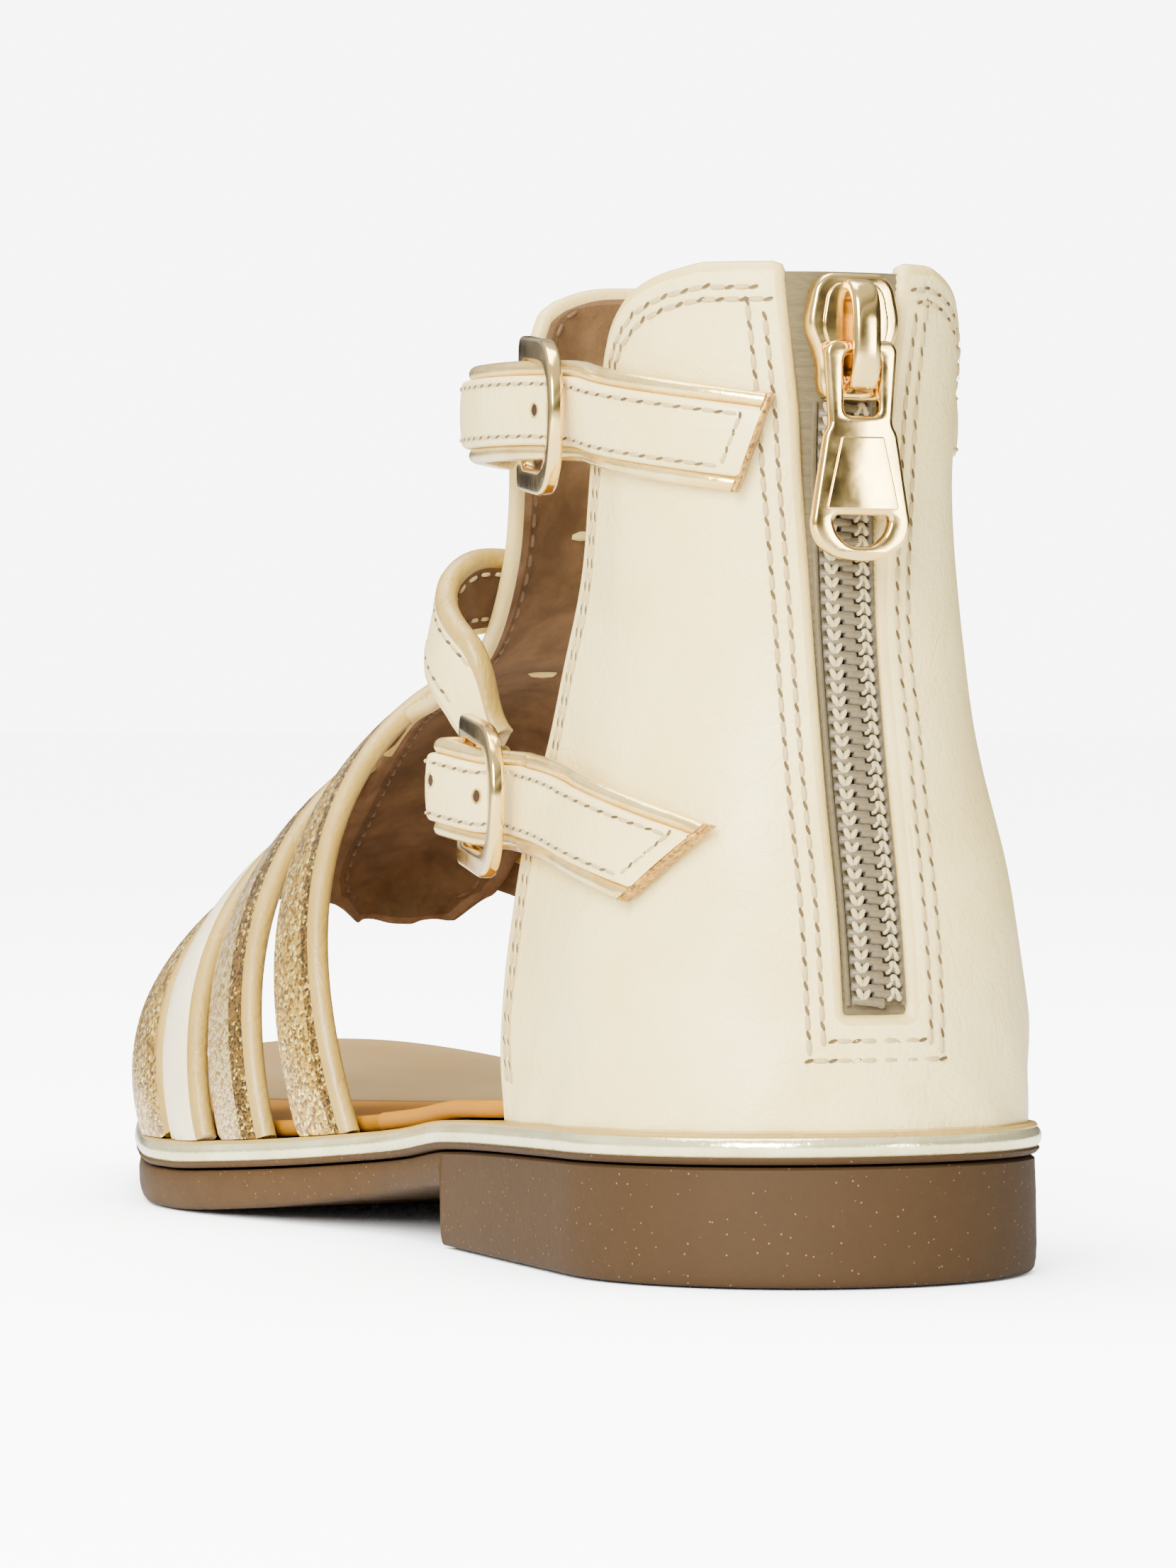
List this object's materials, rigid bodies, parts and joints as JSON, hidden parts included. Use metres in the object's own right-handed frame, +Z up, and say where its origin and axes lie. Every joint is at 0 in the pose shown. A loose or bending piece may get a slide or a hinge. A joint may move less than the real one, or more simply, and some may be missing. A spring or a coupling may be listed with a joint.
{
  "type": "gladiator sandal",
  "caption": "Child's left gladiator sandal: closed back with a rear zip, buckled side straps, a centre panel, four toe straps and a low block heel.",
  "frame": {"origin": "on the floor, under the middle of the sole's box", "axes": "+Z up, +Y from heel to toe, -X to the outer side of the foot"},
  "size_m": [0.0734, 0.209, 0.1005],
  "materials": {
    "cream_leather": "satin, fine grain",
    "strap_leather": "satin with gold edges",
    "metallic_rand": "pale gold foil, glossy",
    "sole_rubber": "matt, finely speckled",
    "insole_leather": "satin",
    "zip_fabric": "ribbed weave",
    "zip_coil": "matt",
    "gold_metal": "polished pale gold plating"
  },
  "bodies": {
    "sandal": {"outsole": "sole_rubber", "midsole": "metallic_rand", "insole": "insole_leather", "back_quarter": "cream_leather", "zip_tape": "zip_fabric", "zip_chain": "zip_coil", "zip_slider": "gold_metal", "strap_upper": "strap_leather", "lower_buckle_strap": "strap_leather", "ankle_buckle": "gold_metal", "lower_buckle": "gold_metal"},
    "pull": {"zip_pull": "gold_metal"}
  },
  "joints": [
    {"name": "zip_pull_hinge", "type": "hinge", "parent": "sandal", "child": "pull", "pos_m": [-0.00231, -0.10288, 0.0915], "axis": [-1, 0, 0], "range_deg": [0, 130]}
  ]
}
